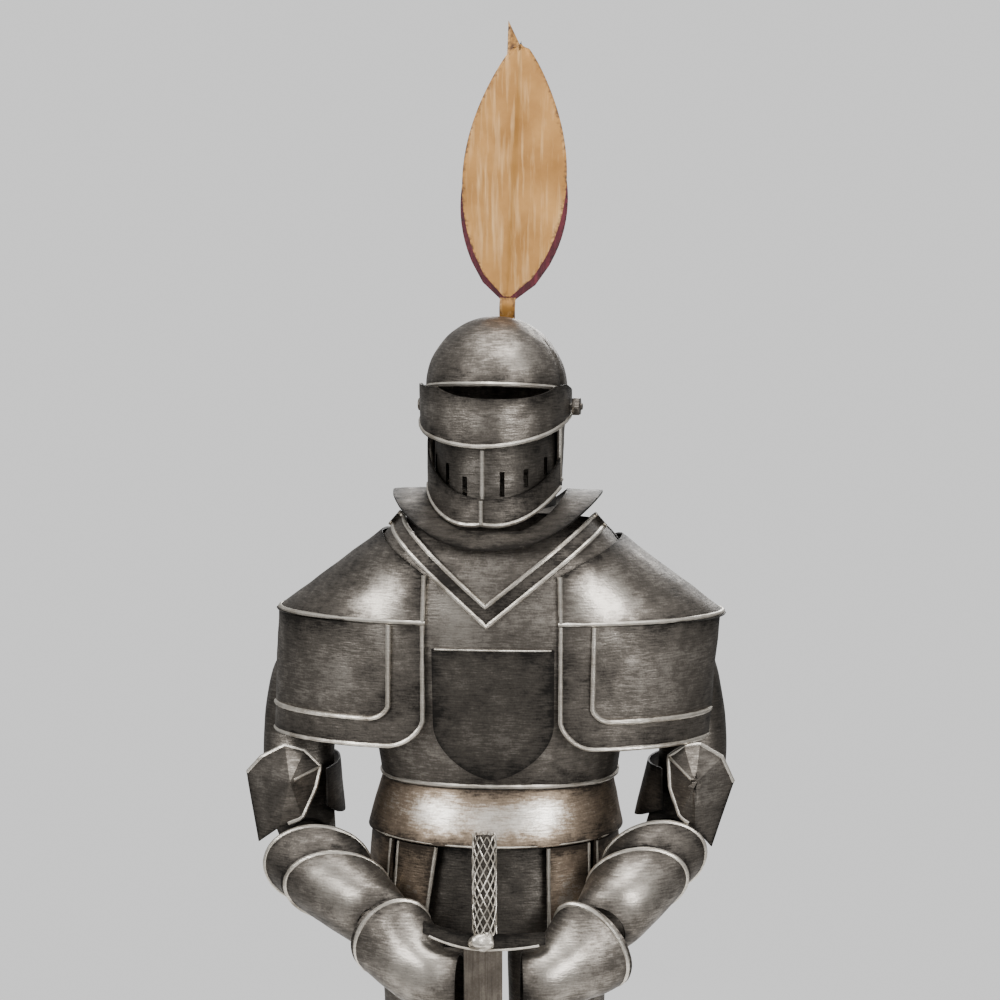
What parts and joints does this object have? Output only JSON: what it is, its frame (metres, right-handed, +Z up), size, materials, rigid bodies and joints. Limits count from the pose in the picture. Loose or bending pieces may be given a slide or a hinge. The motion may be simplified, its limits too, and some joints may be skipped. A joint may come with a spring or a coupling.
{
  "type": "decorative knight figure",
  "caption": "Standing armoured knight in wired sheet iron with a hinged visor and a leaf plume, both hands on an upright sword, on a low base.",
  "frame": {"origin": "middle of the base's underside", "axes": "+Z up along the figure, -Y the way the figure faces, +X towards the figure's left hand"},
  "size_m": [0.306, 0.236, 0.9553],
  "materials": {
    "iron": "thin iron sheet with a dark patina, dry-brushed silver on its wires and high spots",
    "dark_iron": "thin iron sheet with a dark patina, little rubbed",
    "warm_iron": "iron sheet rubbed bright, with brown heat stains",
    "blade_iron": "iron sheet brushed lengthwise, grey-brown",
    "gold_paint": "worn satin gold paint on sheet iron",
    "red_paint": "worn dark red paint on sheet iron",
    "base_paint": "dark satin paint"
  },
  "bodies": {
    "figure": {"base": "base_paint", "breastplate": "iron", "backplate": "iron", "breast_plaque": "dark_iron", "neckline_band": "iron", "left_pauldron_cap": "iron", "left_pauldron_plate": "iron", "left_pauldron_lame": "iron", "right_pauldron_cap": "iron", "right_pauldron_plate": "iron", "right_pauldron_lame": "iron", "gorget_collar": "iron", "helmet_skull": "iron", "helmet_bevor": "dark_iron", "helmet_chin_band": "iron", "visor_bolt": "dark_iron", "visor_rivet": "iron", "plume_leaf_gold": "gold_paint", "plume_leaf_red": "red_paint", "plume_stem": "gold_paint", "waist_band": "warm_iron", "fauld_front_left": "warm_iron", "fauld_front_right": "warm_iron", "fauld_side_left": "warm_iron", "fauld_side_right": "warm_iron", "fauld_back": "warm_iron", "fauld_apron": "dark_iron", "left_upper_arm": "dark_iron", "left_elbow_cuff": "iron", "left_vambrace": "iron", "left_gauntlet": "iron", "left_couter": "iron", "left_couter_wing": "dark_iron", "left_cuisse": "iron", "left_poleyn": "iron", "left_greave": "iron", "left_sabaton": "iron", "right_upper_arm": "dark_iron", "right_elbow_cuff": "iron", "right_vambrace": "iron", "right_gauntlet": "iron", "right_couter": "iron", "right_couter_wing": "dark_iron", "right_cuisse": "iron", "right_poleyn": "iron", "right_greave": "iron", "right_sabaton": "iron", "sword_blade": "blade_iron", "sword_guard": "dark_iron", "sword_grip": "dark_iron"},
    "visor": {"helmet_visor": "iron"}
  },
  "joints": [
    {"name": "visor_hinge", "type": "hinge", "parent": "figure", "child": "visor", "pos_m": [-0.002, 0, 0.739], "axis": [-0.9945, 0.1045, 0], "range_deg": [0, 60]}
  ]
}
